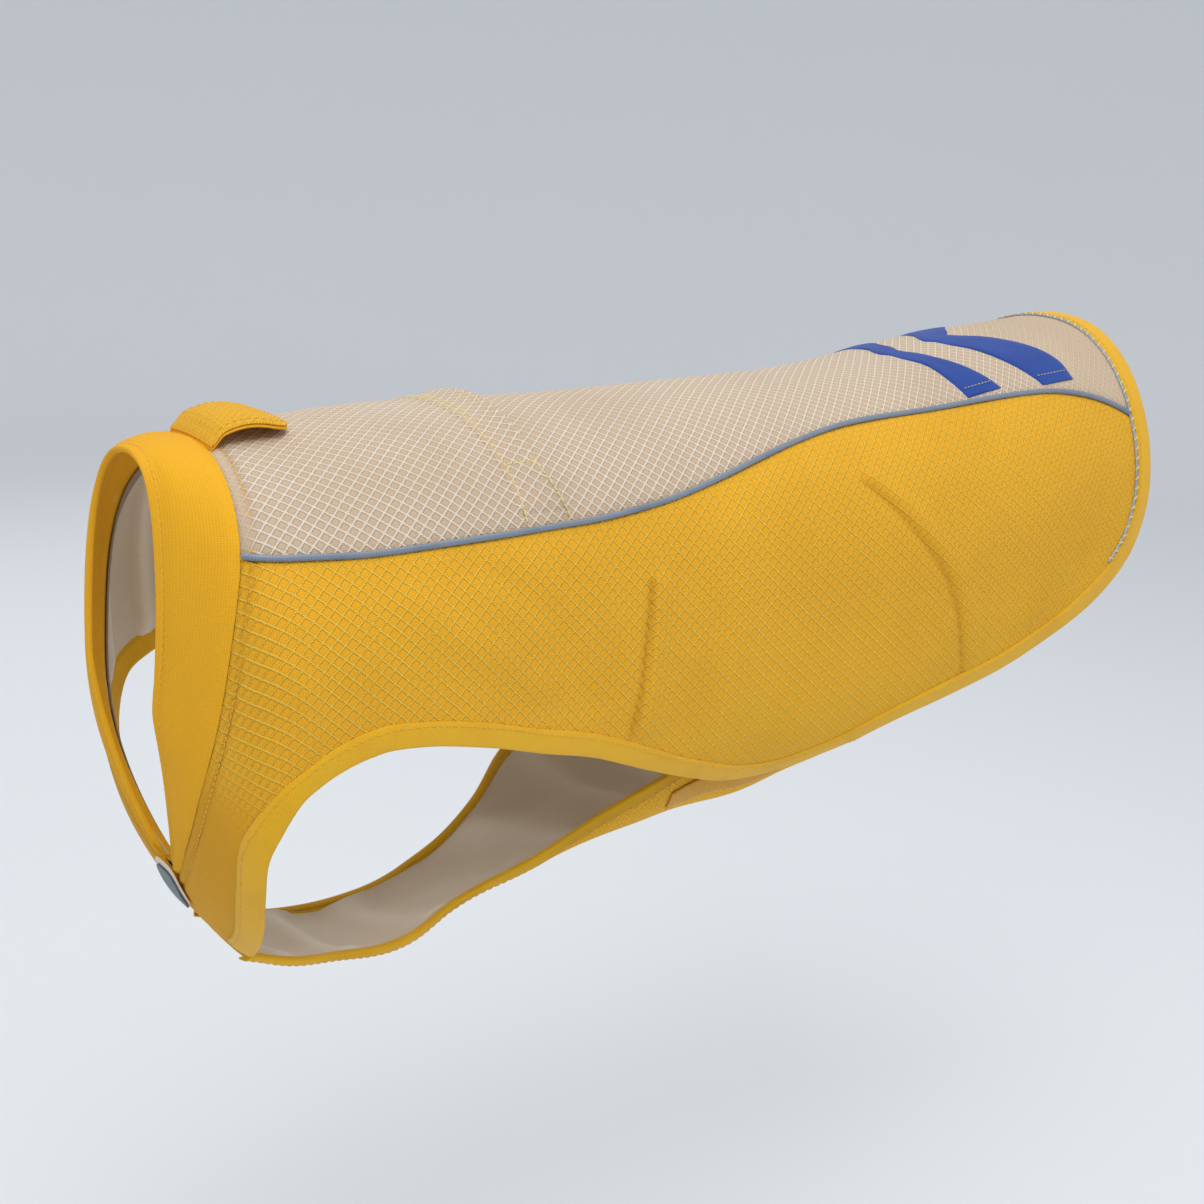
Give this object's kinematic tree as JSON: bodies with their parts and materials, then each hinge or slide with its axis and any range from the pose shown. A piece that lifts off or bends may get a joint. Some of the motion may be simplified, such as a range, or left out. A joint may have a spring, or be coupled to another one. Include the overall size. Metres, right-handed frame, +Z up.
{
  "type": "dog cooling vest",
  "caption": "Step-through mesh vest for a dog, with a knit collar, a belly flap that fastens inside the sides, and an absorbent cooling core.",
  "frame": {"origin": "on the torso axis at mid-length, where the wearer's body holds the vest", "axes": "+X towards the tail, +Y to the wearer's right, +Z up; the collar is at -X"},
  "size_m": [0.4876, 0.165, 0.2473],
  "materials": {
    "yellow_mesh": "raised diamond mesh",
    "cream_mesh": "raised diamond mesh",
    "yellow_knit": "smooth knit",
    "cream_lining": "smooth lining",
    "absorbent_core": "soft fleece",
    "yellow_binding": "woven binding",
    "reflective_grey": "reflective piping",
    "royal_blue": "woven tape",
    "slate_reflector": "reflective film",
    "grey_tape": "woven tape",
    "fastener": "hook and loop pile"
  },
  "bodies": {
    "vest": {"back_panel_shell": "cream_mesh", "back_cooling_core": "absorbent_core", "back_panel_lining": "cream_lining", "tail_binding": "yellow_binding", "tail_cord": "reflective_grey", "left_panel_shell": "yellow_mesh", "left_cooling_core": "absorbent_core", "left_panel_lining": "cream_lining", "left_edge_binding": "yellow_binding", "left_piping": "reflective_grey", "left_tail_cord": "reflective_grey", "left_hook_pad": "fastener", "right_panel_shell": "yellow_mesh", "right_cooling_core": "absorbent_core", "right_panel_lining": "cream_lining", "right_edge_binding": "yellow_binding", "right_piping": "reflective_grey", "right_tail_cord": "reflective_grey", "right_hook_pad": "fastener", "collar_outer": "yellow_knit", "collar_facing": "yellow_knit", "collar_seam_tape": "grey_tape", "blue_tape_front": "royal_blue", "blue_tape_rear": "royal_blue", "leash_port_welt": "cream_mesh", "chest_tag_backing": "cream_lining", "chest_reflector": "slate_reflector"},
    "belly_flap": {"belly_flap_shell": "yellow_mesh", "belly_flap_lining": "cream_lining", "flap_left_binding": "yellow_binding", "flap_right_binding": "yellow_binding", "flap_rear_binding": "yellow_binding", "left_loop_pad": "fastener", "right_loop_pad": "fastener"},
    "neck_tab": {"neck_tab": "yellow_mesh", "neck_tab_lining": "yellow_knit"}
  },
  "joints": [
    {"name": "belly_flap_hinge", "type": "hinge", "parent": "vest", "child": "belly_flap", "pos_m": [-0.2072, 0, -0.1205], "axis": [0, 1, 0], "range_deg": [0, 80]},
    {"name": "neck_tab_hinge", "type": "hinge", "parent": "vest", "child": "neck_tab", "pos_m": [-0.2205, 0, 0.0845], "axis": [0, -1, 0], "range_deg": [0, 100]}
  ]
}
